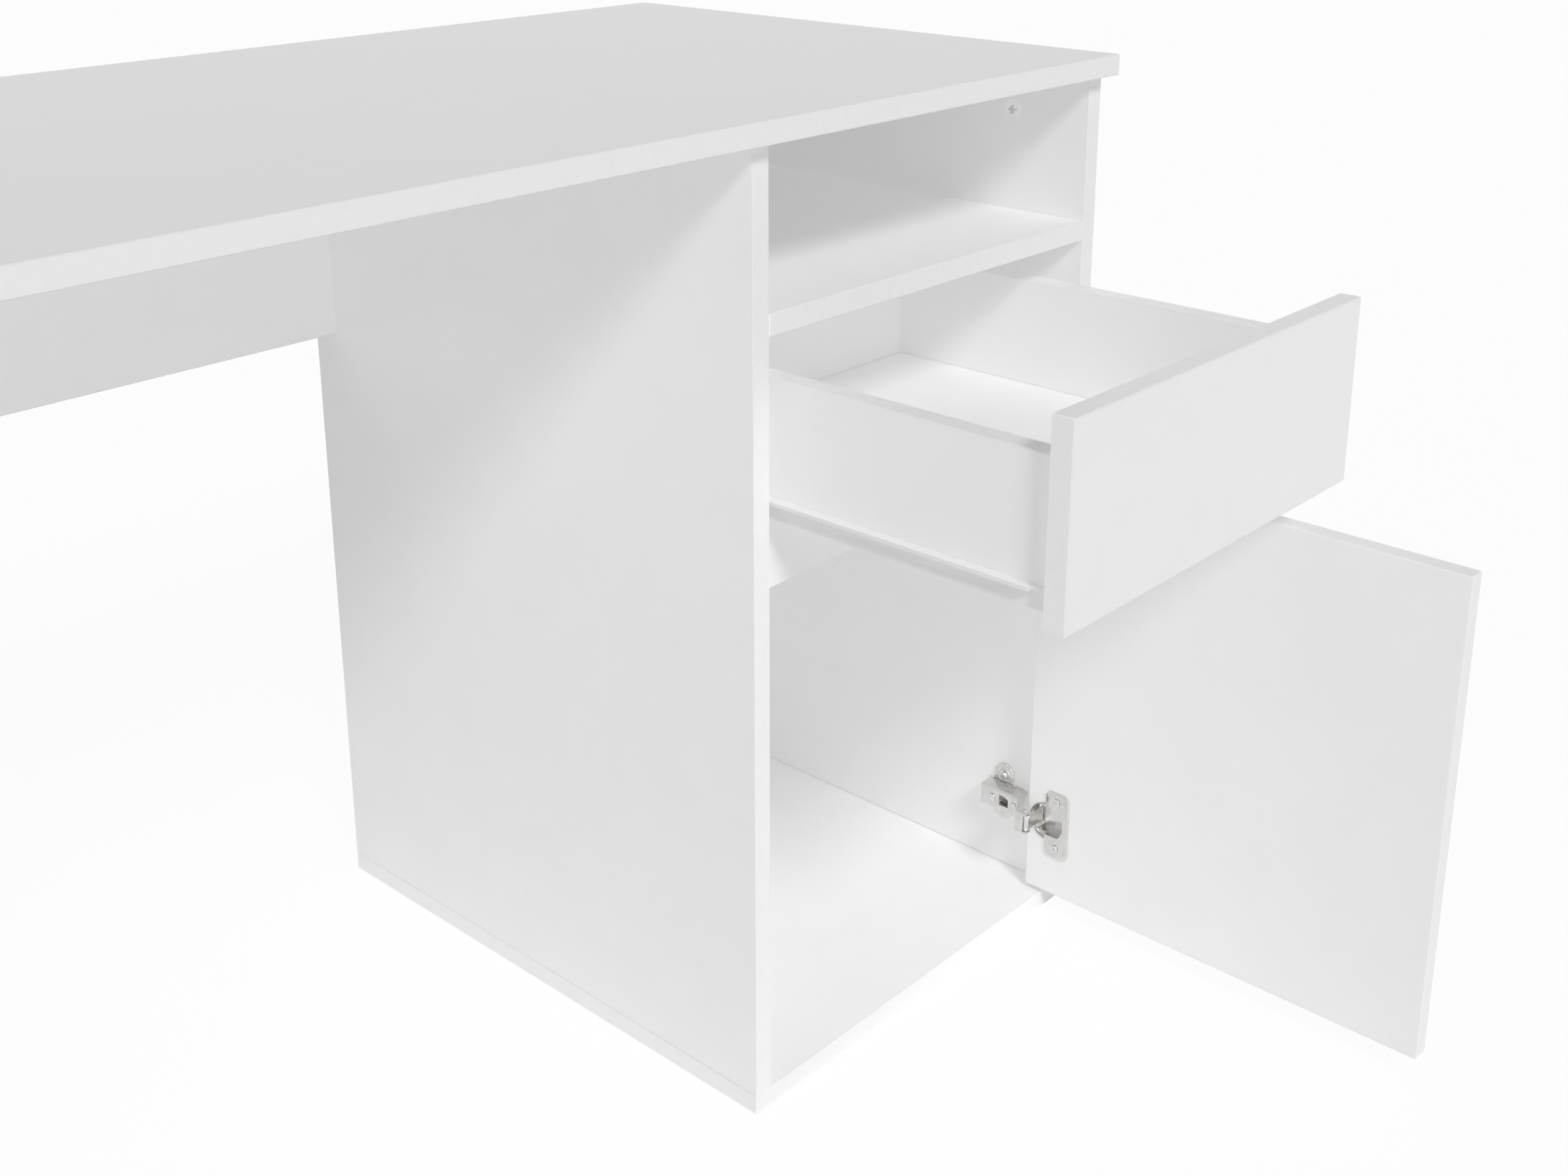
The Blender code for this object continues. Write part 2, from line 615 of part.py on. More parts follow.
def make_cup(end, cup_x, right, inner, height, axis):
    """Pressed cup let into the door, its flange on the door's face, and its pin."""
    name = f"hinge_{end}_cup"
    shape = bmesh.new()
    tube_shape(shape, (cup_x, inner - CUP_DEPTH, height), (0, 1, 0), CUP_RADIUS,
               CUP_DEPTH + GAP + CUP_FLANGE / 2, 40)
    made = finish(name, shape, (cup_x, inner, height), steel(name), axis)
    flange_left = right - FLANGE_REACH
    corner = 5 * MM
    half = FLANGE_HEIGHT / 2
    low = height - half
    high = height + half
    flange_right = flange_left + FLANGE_WIDTH
    outline = (arc((flange_right - corner, high - corner), corner, 0, 90, 4)
               + arc((flange_left + corner, high - corner), corner, 90, 180, 4)
               + arc((flange_left + corner, low + corner), corner, 180, 270, 4)
               + arc((flange_right - corner, low + corner), corner, 270, 360, 4))
    flange = bmesh.new()
    prism_shape(flange, [(x, 0, z) for x, z in outline], (0, inner + GAP, 0),
                (0, CUP_FLANGE, 0))
    combine(made, flange, "UNION")
    radius = CUP_RADIUS - CUP_WALL
    slot = math.degrees(math.asin(CUP_SLOT_HALF / radius))
    outline = (arc((cup_x, height), radius, -slot, slot, 10)
               + arc((cup_x, height), radius, 180 - slot, 180 + slot, 10))
    hollow = bmesh.new()
    prism_shape(hollow, [(x, 0, z) for x, z in outline],
                (0, inner - CUP_DEPTH + CUP_WALL, 0), (0, CUP_DEPTH + 3 * MM, 0))
    combine(made, hollow)
    side = math.degrees(math.acos((flange_right + CUP_WALL - cup_x) / radius))
    shelf = bmesh.new()
    prism_shape(shelf, [(x, 0, z) for x, z in arc((cup_x, height), radius, -side, side, 18)],
                (0, inner - CUP_SHELF, 0), (0, CUP_SHELF + 3 * MM, 0))
    combine(made, shelf)
    holes = bmesh.new()
    for side in (1, -1):
        spot = (cup_x - CUP_SCREW_BACK, inner - MM, height + side * CUP_SCREW_SPREAD / 2)
        tube_shape(holes, spot, (0, 1, 0), 2.1 * MM, 4 * MM, 12)
    tube_shape(holes, (PIVOT.x, PIVOT.y, height - CUP_RADIUS), (0, 0, 1),
               PIN_RADIUS + GAP, 2 * CUP_RADIUS, 16)
    combine(made, holes)

    name = f"hinge_{end}_pin"
    shape = bmesh.new()
    start = Vector((PIVOT.x, PIVOT.y, height - PIN_HALF))
    tube_shape(shape, start, (0, 0, 1), PIN_RADIUS, 2 * PIN_HALF, 16)
    finish(name, shape, (PIVOT.x, PIVOT.y, height), steel(name), axis)


def make_plate(end, height, carcass):
    """Mounting plate on the pedestal, with the ridge that the arm is clamped to."""
    face = INNER_RIGHT
    name = f"hinge_{end}_plate"
    wing = PLATE_WING_RADIUS
    body = ARM_HALF
    reach = PLATE_WING_HALF
    flare = PLATE_FLARE
    outline = ([(PLATE_START, -body), (WING_Y - wing - flare, -body),
                (WING_Y - wing, -body - flare)]
               + arc((WING_Y, -reach + wing), wing, 180, 360, 12)
               + [(WING_Y + wing, -body - flare), (WING_Y + wing + flare, -body),
                  (PLATE_END, -body), (PLATE_END, body),
                  (WING_Y + wing + flare, body), (WING_Y + wing, body + flare)]
               + arc((WING_Y, reach - wing), wing, 0, 180, 12)
               + [(WING_Y - wing, body + flare), (WING_Y - wing - flare, body),
                  (PLATE_START, body)])
    shape = bmesh.new()
    prism_shape(shape, [(0, y, z) for y, z in outline], (face - GAP, 0, height),
                (-PLATE_THICK, 0, 0))
    made = finish(name, shape, (face, WING_Y, height), steel(name), carcass)
    ridge = bmesh.new()
    half = ARM_HALF - ARM_WALL - MM
    box_shape(ridge, (face - RIDGE_OUT, RIDGE_START, height - half),
              (face - GAP - PLATE_THICK / 2, RIDGE_END, height + half))
    combine(made, ridge, "UNION")
    holes = bmesh.new()
    for side in (1, -1):
        spot = (face + MM, WING_Y, height + side * WING_SCREW_SPREAD / 2)
        tube_shape(holes, spot, (-1, 0, 0), 2.1 * MM, 4 * MM, 12)
    spot = (face - RIDGE_OUT - MM, ARM_SCREW_BACK, height)
    tube_shape(holes, spot, (1, 0, 0), SCREW_RADIUS + GAP, RIDGE_OUT - 2 * MM, 12)
    combine(made, holes)


def rivet_spot(height):
    return Vector((PIVOT.x - LINK_LENGTH, PIVOT.y + LINK_RISE, height))


def make_arm(end, height, carcass):
    """Cranked channel from the mounting plate to the link, and its two screws."""
    name = f"hinge_{end}_arm"
    out = INNER_RIGHT - ARM_FACE_OUT
    rivet = rivet_spot(height)
    tip_x = rivet.x - KNUCKLE_RADIUS - 0.4 * MM - ARM_WALL
    tip_y = PIVOT.y - 2.5 * MM
    foot = INNER_RIGHT - GAP - PLATE_THICK - 0.5 * MM
    bend = 41 * MM
    shape = bmesh.new()
    outline = [
        (out, ARM_END), (out, bend), (out - 7 * MM, bend - 5 * MM),
        (tip_x, 30 * MM), (tip_x, tip_y),
        (rivet.x + 2.6 * MM, tip_y), (rivet.x + 2.6 * MM, 26 * MM),
        (out + MM, bend - 6 * MM), (foot, bend - MM), (foot, ARM_END),
    ]
    prism_shape(shape, [(x, y, 0) for x, y in outline], (0, 0, height - ARM_HALF),
                (0, 0, 2 * ARM_HALF))
    made = finish(name, shape, (out, 60 * MM, height), steel(name), carcass)
    wall = ARM_WALL
    beyond = 3 * MM
    inside = [
        (out + wall, ARM_END + beyond), (out + wall, bend + 0.5 * MM),
        (out - 7 * MM + 0.9 * wall, bend - 5 * MM - 0.7 * wall),
        (tip_x + wall, 30 * MM - 0.6 * wall), (tip_x + wall, tip_y - beyond),
        (rivet.x + 2 * beyond, tip_y - beyond), (rivet.x + 2 * beyond, 24 * MM),
        (out + 3 * MM, bend - 9 * MM), (foot + beyond, bend - 2 * beyond),
        (foot + beyond, ARM_END + beyond),
    ]
    hollow = bmesh.new()
    prism_shape(hollow, [(x, y, 0) for x, y in inside], (0, 0, height - ARM_HALF + wall),
                (0, 0, 2 * (ARM_HALF - wall)))
    combine(made, hollow)
    cuts = bmesh.new()
    box_shape(cuts, (out - MM, 51 * MM, height - ARM_WINDOW_HALF),
              (out + wall + 0.5 * MM, 60.5 * MM, height + ARM_WINDOW_HALF))
    tube_shape(cuts, rivet - Vector((0, 0, ARM_HALF + MM)), (0, 0, 1), PIN_RADIUS + GAP,
               2 * (ARM_HALF + MM), 16)
    for spot_y in (ARM_SCREW_BACK, ARM_SCREW_FRONT):
        tube_shape(cuts, (out - MM, spot_y, height), (1, 0, 0), SCREW_RADIUS + GAP,
                   3.5 * MM, 12)
    combine(made, cuts)
    # The web stops at the rivet, so that the link's knuckle shows between the lips
    mouth = bmesh.new()
    box_shape(mouth, (tip_x - MM, tip_y - MM, height - ARM_HALF + wall),
              (tip_x + wall + 0.2 * MM, rivet.y + 0.8 * MM, height + ARM_HALF - wall))
    combine(made, mouth)
    for spot_y, label, head, length in ((ARM_SCREW_BACK, "back", 3.4 * MM, 13 * MM),
                                        (ARM_SCREW_FRONT, "front", 2.4 * MM, 7 * MM)):
        screw(f"hinge_{end}_arm_screw_{label}", Vector((out - GAP, spot_y, height)),
              (1, 0, 0), head, 0.6 * MM, length, carcass)


def make_link(end, height, carcass):
    """Short link from the arm's tip into the cup, with the eye that the pin turns in."""
    name = f"hinge_{end}_link"
    rivet = rivet_spot(height)
    half = LINK_THICK / 2
    start = Vector((rivet.x, rivet.y - KNUCKLE_RADIUS + half))
    stop = Vector((PIVOT.x, PIVOT.y - EYE_RADIUS + half))
    turn = (start + stop) / 2 + Vector((0, 2 * LINK_DISH))
    steps = 10
    front = []
    back = []
    for i in range(steps + 1):
        t = i / steps
        spot = start * (1 - t) ** 2 + turn * 2 * t * (1 - t) + stop * t ** 2
        along = ((turn - start) * (1 - t) + (stop - turn) * t).normalized()
        across = Vector((-along.y, along.x))
        back.append(spot + across * half)
        front.append(spot - across * half)
    shape = bmesh.new()
    low = (0, 0, height - LINK_HALF)
    tall = (0, 0, 2 * LINK_HALF)
    prism_shape(shape, [(p.x, p.y, 0) for p in front + back[::-1]], low, tall)
    made = finish(name, shape, (PIVOT.x, PIVOT.y, height), steel(name), carcass)
    for centre, radius in ((rivet, KNUCKLE_RADIUS), (PIVOT, EYE_RADIUS)):
        eye = bmesh.new()
        tube_shape(eye, (centre.x, centre.y, height - LINK_HALF), (0, 0, 1), radius,
                   2 * LINK_HALF, 24)
        combine(made, eye, "UNION")
    rivet_half = ARM_HALF - GAP
    rod = bmesh.new()
    tube_shape(rod, rivet - Vector((0, 0, rivet_half)), (0, 0, 1), PIN_RADIUS,
               2 * rivet_half, 16)
    combine(made, rod, "UNION")
    hole = bmesh.new()
    tube_shape(hole, (PIVOT.x, PIVOT.y, height - LINK_HALF - MM), (0, 0, 1),
               PIN_RADIUS + PIN_PLAY, 2 * (LINK_HALF + MM), 16)
    combine(made, hole)


def make_hinges(carcass):
    for end, height in hinge_heights():
        make_plate(end, height, carcass)
        make_arm(end, height, carcass)
        make_link(end, height, carcass)
    for name, spot in wing_screw_places():
        seat = spot - Vector((GAP + PLATE_THICK + GAP, 0, 0))
        screw(name, seat, (1, 0, 0), 3.8 * MM, 1.6 * MM, 12 * MM, carcass)


def main():
    clear_scene()
    carcass = empty("carcass_frame", SHIFT)
    carcass["desk_origin"] = (0, 0, 0)
    slide = empty("drawer_slide", SHIFT - Vector((0, DRAWER_OUT, 0)))
    slide["desk_origin"] = (0, 0, 0)
    axis = empty("door_axis", SHIFT + PIVOT)
    axis["desk_origin"] = PIVOT
    axis.rotation_euler = (0, 0, DOOR_OPEN)
    make_top(carcass)
    make_pedestal(carcass)
    make_left_support(carcass)
    make_cams(carcass)
    make_drawer(slide)
    make_runners(carcass, slide)
    make_door(axis)
    make_hinges(carcass)


main()
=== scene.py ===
"""Looks for the white corner desk: coated boards with banded edges, plated hinges,
coated runners with nylon rollers, screws, cam locks, the room, the lamps and the camera.

Metres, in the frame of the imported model: +Z up, the sitter is on the -Y side.
"""
import json
import math

import bmesh
import bpy
from mathutils import Matrix, Vector


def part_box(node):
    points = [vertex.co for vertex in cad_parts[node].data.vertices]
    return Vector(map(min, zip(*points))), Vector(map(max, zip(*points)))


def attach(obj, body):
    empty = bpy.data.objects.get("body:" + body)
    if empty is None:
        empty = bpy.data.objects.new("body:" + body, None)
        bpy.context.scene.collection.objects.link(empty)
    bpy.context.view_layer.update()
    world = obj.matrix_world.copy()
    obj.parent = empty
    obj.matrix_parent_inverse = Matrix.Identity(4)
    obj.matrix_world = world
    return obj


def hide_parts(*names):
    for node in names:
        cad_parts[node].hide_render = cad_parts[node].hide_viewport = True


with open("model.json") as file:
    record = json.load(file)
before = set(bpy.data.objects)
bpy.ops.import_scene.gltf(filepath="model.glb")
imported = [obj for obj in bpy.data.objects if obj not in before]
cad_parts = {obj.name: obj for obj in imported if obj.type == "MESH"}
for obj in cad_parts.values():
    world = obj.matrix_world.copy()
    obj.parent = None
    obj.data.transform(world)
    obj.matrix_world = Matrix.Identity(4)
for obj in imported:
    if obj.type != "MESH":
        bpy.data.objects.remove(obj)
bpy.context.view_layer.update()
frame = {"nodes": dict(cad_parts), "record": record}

MM = 0.001

# Boards. The depths say how far in from a face the seam ends, the cut chipboard of a
# bore begins and an edge is all banding.
BAND = 0.8 * MM
SEAM = 0.07 * MM
# Width of the painted shade along each board's rounded arrises, which dulls their highlight.
SHADED_ARRIS_WIDTH = 0.5 * MM
SEAM_DEPTH = 0.3 * MM
CHIPBOARD_DEPTH = 0.4 * MM
BANDING_DEPTH = 0.55 * MM
BOARDS = (
    "desktop", "pedestal_side_left", "pedestal_side_right", "pedestal_bottom",
    "niche_shelf", "front_rail", "modesty_panel", "end_panel", "drawer_front",
    "drawer_side_left", "drawer_side_right", "drawer_back", "door",
)
THIN_SHEETS = ("pedestal_back", "drawer_bottom")
LEFT_WING_RIGHT_EDGE = -295 * MM
RIGHT_WING_FRONT_EDGE = -98.7 * MM
INNER_CURVE = 120 * MM

# Hinges
HINGES = ("lower", "upper")
PLATE_THICK = 1.8 * MM
BOSS_RADIUS = 5.9 * MM
BOSS_HEIGHT = 0.45 * MM
PRESSED_EDGES = {
    "plate": 0.35 * MM, "arm": 0.3 * MM, "link": 0.3 * MM, "cup": 0.22 * MM,
    "pin": 0.2 * MM,
}

# Screws: radius and height of the head, and length under it
SHANK_RADIUS = 1.3 * MM
THREAD_PITCH = 1.2 * MM
THREAD_RADIUS = 0.22 * MM
PLATE_SCREW = (3.7 * MM, 1.5 * MM, 11 * MM)
CUP_SCREW = (3.5 * MM, 0.45 * MM, 9.5 * MM)
ADJUSTING_SCREW = (2.3 * MM, 0.5 * MM, 6.5 * MM)
CLAMPING_SCREW = (3.3 * MM, 0.55 * MM, 12 * MM)
DRAWER_RUNNER_SCREW = (3.1 * MM, 0.4 * MM, 9.5 * MM)
FIXED_RUNNER_SCREW = (2.9 * MM, 1.3 * MM, 10.5 * MM)

# Runners
FOLD = 0.5 * MM
TRACK_FOLD = 0.35 * MM
FLANGE_TAPER = 24 * MM
FLANGE_REACH = 6.2 * MM
ROLLER_BORE = 2.25 * MM
ROLLER_TREAD = 0.5 * MM
ROLLER_DISH = 0.35 * MM

# Cam locks: nearly flush with the board, and nearly as wide as their bore
CAM_RISE = 0.26 * MM
CAM_GROW = 0.24 * MM
CAM_RIM = 0.5 * MM
CAM_RING = 0.18 * MM
CROSS_REACH = 3.4 * MM
# Attribute that marks the cam locks' cross recesses, which the plastic finish darkens as
# painted shade.
RECESS_SHADE_MARK = "hollow"

# Light
SUN_WAY = Vector((0.44, 1.0, -0.97))
SUN_STRENGTH = 1.46
SUN_ANGLE = math.radians(13)
SOFT_BOX_WAY = Vector((1.0, 0.15, -0.1))
SOFT_BOX_STRENGTH = 0.50
SOFT_BOX_ANGLE = math.radians(60)
SKY = 0.12
FLOOR_WHITE = 0.94
FLOOR_HALF = 12.0
FLOOR_DROP = 0.5 * MM
FILL_ANGLE = 0.1
FILLS = (
    ("fill_left", (1, 0, 0), 0.52),
    ("fill_front", (0, 1, 0), 0.66),
    ("fill_top", (0, 0, -1), 0.67),
    ("fill_right", (-1, 0, 0), 0.7),
    ("fill_back", (0, -1, 0), 0.7),
)

# Camera
LENS = 43.202
SHIFT = (0.00249, -0.13657)
VIEW_FROM = Vector((-0.487225, -0.889291, 0.952677))
VIEW_WAY = Vector((0.70573, 0.64139, -0.30094))
VIEW_RIGHT = Vector((0.67248, -0.74012, -0.00039))


# ---------------------------------------------------------------- node trees

class Value:
    """A number that varies over a surface or a mesh, so that maths on it reads plainly."""

    def __init__(self, nodes, socket):
        self.nodes = nodes
        self.socket = socket

    def _with(self, operation, *others, swap=False, clamp=False):
        terms = [self, *others]
        if swap:
            terms.reverse()
        made = self.nodes.node("ShaderNodeMath",
                               {"operation": operation, "use_clamp": clamp},
                               dict(enumerate(terms)))
        return Value(self.nodes, made.outputs[0])

    def __add__(self, other):
        return self._with("ADD", other)

    def __radd__(self, other):
        return self._with("ADD", other, swap=True)

    def __sub__(self, other):
        return self._with("SUBTRACT", other)

    def __rsub__(self, other):
        return self._with("SUBTRACT", other, swap=True)

    def __mul__(self, other):
        return self._with("MULTIPLY", other)

    def __rmul__(self, other):
        return self._with("MULTIPLY", other, swap=True)

    def __truediv__(self, other):
        return self._with("DIVIDE", other)

    def __rtruediv__(self, other):
        return self._with("DIVIDE", other, swap=True)

    def __abs__(self):
        return self._with("ABSOLUTE")

    def above(self, other):
        return self._with("GREATER_THAN", other)

    def below(self, other):
        return self._with("LESS_THAN", other)

    def least(self, other):
        return self._with("MINIMUM", other)

    def most(self, other):
        return self._with("MAXIMUM", other)

    def clamped(self):
        return self._with("ADD", 0.0, clamp=True)

    def root(self):
        return self._with("SQRT")


class Nodes:
    """A node tree, and the one method that adds a node to it."""

    def __init__(self, tree):
        self.tree = tree

    def node(self, kind, settings=None, values=None):
        made = self.tree.nodes.new(kind)
        for name, setting in (settings or {}).items():
            if name == "stops":
                self._set_stops(made.color_ramp, setting)
            else:
                setattr(made, name, setting)
        for name, value in (values or {}).items():
            self.feed(made.inputs[name], value)
        return made

    def feed(self, socket, value):
        value = getattr(value, "socket", value)
        if isinstance(value, bpy.types.NodeSocket):
            self.tree.links.new(value, socket)
        else:
            socket.default_value = value

    @staticmethod
    def _set_stops(ramp, stops):
        while len(ramp.elements) < len(stops):
            ramp.elements.new(1.0)
        for element, (place, shade) in zip(ramp.elements, stops):
            element.position = place
            element.color = (shade, shade, shade, 1.0)

    def value(self, kind, settings=None, values=None, output=0):
        return Value(self, self.node(kind, settings, values).outputs[output])


class Finish(Nodes):
    """A material with its shader, and the patterns that its sockets are fed from."""

    def __init__(self, name, **constants):
        self.material = bpy.data.materials.new(name)
        self.material.use_nodes = True
        super().__init__(self.material.node_tree)
        self.shader = self.tree.nodes["Principled BSDF"]
        for socket, constant in constants.items():
            self.shader.inputs[socket.replace("_", " ")].default_value = constant
        self.place = self.node("ShaderNodeTexCoord").outputs["Object"]
        self.height = None

    def axes(self):
        split = self.node("ShaderNodeSeparateXYZ", values={0: self.place})
        return [Value(self, output) for output in split.outputs]

    def stretched(self, scale):
        made = self.node("ShaderNodeMapping",
                         values={"Vector": self.place, "Scale": scale})
        return made.outputs[0]

    def noise(self, grain, detail=2.0, roughness=0.5, vector=None):
        """Noise from 0 to 1 whose blobs are about as large as grain, in metres."""
        return self.value("ShaderNodeTexNoise", {"noise_dimensions": "3D"},
                          {"Vector": vector or self.place, "Scale": 1.0 / grain,
                           "Detail": detail, "Roughness": roughness})

    def cells(self, grain, feature):
        return self.value("ShaderNodeTexVoronoi", {"feature": feature},
                          {"Vector": self.place, "Scale": 1.0 / grain})

    def ramp(self, value, *stops):
        return self.value("ShaderNodeValToRGB", {"stops": stops}, {0: value})

    def tint(self, factor, first, second):
        made = self.node("ShaderNodeMix", {"data_type": "RGBA"},
                         {0: factor, 6: colour(first), 7: colour(second)})
        return made.outputs[2]

    def relief(self, height, depth, strength=1.0):
        """Adds a bump of the height, which goes from 0 to 1, with its depth in metres."""
        values = {"Height": height, "Distance": depth, "Strength": strength}
        if self.height is not None:
            values["Normal"] = self.height
        self.height = self.node("ShaderNodeBump", values=values).outputs[0]
        self.feed(self.shader.inputs["Normal"], self.height)

    def base(self, value):
        self.feed(self.shader.inputs["Base Color"], value)

    def rough(self, value):
        self.feed(self.shader.inputs["Roughness"], value)


def colour(value):
    if isinstance(value, (bpy.types.NodeSocket, Value)):
        return value
    if isinstance(value, (int, float)):
        value = (value, value, value)
    return (*value, 1.0)


# ---------------------------------------------------------------- finishes

def rim_distance(finish, node):
    """(distance in from the nearest banded edge, distance in from the nearer face)."""
    low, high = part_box(node)
    axes = finish.axes()
    size = high - low
    thick = min(range(3), key=lambda i: size[i])
    insets = []
    for i, axis in enumerate(axes):
        middle = (low[i] + high[i]) / 2
        insets.append(size[i] / 2 - abs(axis - middle))
    from_face = insets.pop(thick)
    if node != "desktop":
        return insets[0].least(insets[1]), from_face
    x, y, _ = axes
    right_wing = insets[0].least(y - RIGHT_WING_FRONT_EDGE).least(high.y - y)
    left_wing = (x - low.x).least(LEFT_WING_RIGHT_EDGE - x).least(insets[1])
    curve_x = LEFT_WING_RIGHT_EDGE + INNER_CURVE
    curve_y = RIGHT_WING_FRONT_EDGE - INNER_CURVE
    from_curve = ((x - curve_x) * (x - curve_x) + (y - curve_y) * (y - curve_y)).root()
    by_curve = (from_curve - INNER_CURVE).least(x - low.x).least(high.y - y)
    near_curve = x.below(curve_x) * y.above(curve_y)
    straight = right_wing.most(left_wing)
    return near_curve * by_curve + (1 - near_curve) * straight, from_face


def board_finish(node):
    """White melamine face, a smoother banding strip round it and a hairline between."""
    finish = Finish(f"white_board_{node}", IOR=1.5, Coat_Roughness=0.3)
    rim, from_face = rim_distance(finish, node)
    mottle = finish.noise(55 * MM, 3.0, 0.6)
    fine = finish.noise(0.9 * MM, 2.0, 0.6)
    pearl = finish.cells(1.4 * MM, "SMOOTH_F1")
    edge = from_face.above(BANDING_DEPTH) * rim.below(2 * BAND)
    banding = rim.below(BAND).most(edge)
    seam = abs(rim - BAND).below(SEAM) * from_face.below(SEAM_DEPTH)
    bored = from_face.above(CHIPBOARD_DEPTH) * rim.above(2 * BAND)
    scuffs = finish.noise(9 * MM, 6.0, 0.75)
    face = finish.tint(finish.ramp(mottle, (0.3, 0.0), (0.7, 1.0)), 0.842, 0.858)
    strip = finish.tint(finish.ramp(scuffs, (0.45, 0.0), (0.62, 1.0)), 0.85, 0.835)
    shade = finish.tint(banding, face, strip)
    shade = finish.tint(seam * 0.6, shade, 0.62)
    # Painted shade: the rounded arrises are tinted darker to damp the highlight that light
    # puts on them.
    painted_arris_shade = rim.below(SHADED_ARRIS_WIDTH) * from_face.below(SHADED_ARRIS_WIDTH)
    shade = finish.tint(painted_arris_shade, shade, 0.76)
    chips = finish.tint(finish.ramp(finish.noise(1.6 * MM, 3.0), (0.35, 0.0), (0.65, 1.0)),
                        (0.60, 0.52, 0.42), (0.74, 0.67, 0.56))
    finish.base(finish.tint(bored, shade, chips))
    satin = 0.40 + 0.07 * (mottle - 0.5) + 0.10 * (fine - 0.5)
    strip_satin = 0.32 + 0.08 * (scuffs - 0.5)
    smooth = (1 - banding) * satin + banding * strip_satin
    finish.rough((1 - bored) * smooth + bored * 0.85)
    finish.relief(pearl * 0.6 + fine * 0.4, 0.012 * MM, 0.55)
    finish.relief(mottle, 0.10 * MM, 0.12)
    finish.relief(1 - seam, 0.05 * MM, 0.6)
    return finish.material


def fibreboard_finish():
    """Thin painted fibreboard, with faint fibres under the paint."""
    finish = Finish("white_painted_fibreboard", IOR=1.48)
    fibres = finish.noise(2.2 * MM, 4.0, 0.7, finish.stretched((1.0, 0.35, 1.0)))
    cloud = finish.noise(70 * MM, 2.0)
    finish.base(finish.tint(finish.ramp(cloud, (0.3, 0.0), (0.7, 1.0)), 0.835, 0.855))
    finish.rough(0.46 + 0.12 * (fibres - 0.5))
    finish.relief(fibres, 0.02 * MM, 0.5)
    return finish.material


def plated_finish(name, low, high, roughness, brushed=(1.0, 1.0, 1.0)):
    """Plated metal: cloudy brightness, fine drawing lines and a few handling marks."""
    finish = Finish(name, Metallic=1.0)
    lines = finish.noise(0.45 * MM, 3.0, 0.7, finish.stretched(brushed))
    cloud = finish.noise(6 * MM, 3.0, 0.6)
    marks = finish.cells(5 * MM, "DISTANCE_TO_EDGE")
    scratch = marks.below(0.012) * finish.noise(3 * MM, 1.0).above(0.6)
    shade = finish.tint(finish.ramp(cloud, (0.25, 0.0), (0.75, 1.0)), low, high)
    finish.base(finish.tint(scratch * 0.3, shade, (0.45, 0.45, 0.44)))
    finish.rough((roughness + 0.12 * (lines - 0.5) + 0.08 * (cloud - 0.5)
                  + 0.12 * scratch).clamped())
    finish.relief(lines, 0.008 * MM, 0.5)
    return finish.material


def coated_finish():
    """White baked coating on the runners, with its orange-peel surface."""
    finish = Finish("white_runner_coating", IOR=1.5, Coat_Weight=0.25, Coat_Roughness=0.2)
    peel = finish.noise(1.1 * MM, 2.0, 0.5)
    rub = finish.noise(14 * MM, 4.0, 0.7, finish.stretched((1.0, 0.25, 1.0)))
    worn = finish.ramp(rub, (0.62, 0.0), (0.72, 1.0))
    finish.base(finish.tint(worn * 0.5, 0.75, 0.71))
    finish.rough(0.36 + 0.08 * (peel - 0.5) - 0.08 * worn)
    finish.relief(peel, 0.03 * MM, 0.5)
    return finish.material


def moulded_finish(name, pale, dim, hollow=None):
    """Moulded plastic with a fine grain, a faint smear and, where given, painted shade in its
    hollows.
    """
    finish = Finish(name, IOR=1.53)
    grain = finish.noise(0.7 * MM, 2.0)
    smear = finish.noise(4 * MM, 3.0, 0.6)
    shade = finish.tint(smear, pale, dim)
    if hollow is not None:
        # Painted shade: the marked recesses take the darker colour.
        painted_shade_mask = finish.value("ShaderNodeAttribute", {"attribute_name": RECESS_SHADE_MARK}, output=2)
        shade = finish.tint(painted_shade_mask, shade, hollow)
    finish.base(shade)
    finish.rough(0.38 + 0.14 * (grain - 0.5))
    finish.relief(grain, 0.015 * MM, 0.5)
    return finish.material


# ---------------------------------------------------------------- mesh helpers

def new_piece(name, mesh_builder, surface):
    mesh = bpy.data.meshes.new(name)
    mesh_builder.to_mesh(mesh)
    mesh_builder.free()
    piece = bpy.data.objects.new(name, mesh)
    bpy.context.scene.collection.objects.link(piece)
    mesh.materials.append(surface)
    for face in mesh.polygons:
        face.use_smooth = True
    return piece


def merged_copy(node):
    """Mesh of a CAD node with its loose triangles joined and its flat faces whole."""
    shape = bmesh.new()
    shape.from_mesh(frame["nodes"][node].data)
    bmesh.ops.remove_doubles(shape, verts=shape.verts, dist=2e-6)
    bmesh.ops.dissolve_limit(shape, angle_limit=math.radians(0.5), verts=shape.verts,
                             edges=shape.edges)
    return shape


def pressed_edges(piece, width, segments=3):
    """Rounds the edges of a piece and shades the rounding smoothly."""
    bevel = piece.modifiers.new("pressed_edges", "BEVEL")
    bevel.width = width
    bevel.segments = segments
    bevel.limit_method = "ANGLE"
    bevel.angle_limit = math.radians(28)
    bevel.harden_normals = True
    bevel.miter_outer = "MITER_ARC"


def apply_modifiers(piece):
    graph = bpy.context.evaluated_depsgraph_get()
    mesh = bpy.data.meshes.new_from_object(piece.evaluated_get(graph),
                                           preserve_all_data_layers=True,
                                           depsgraph=graph)
    piece.modifiers.clear()
    piece.data = mesh


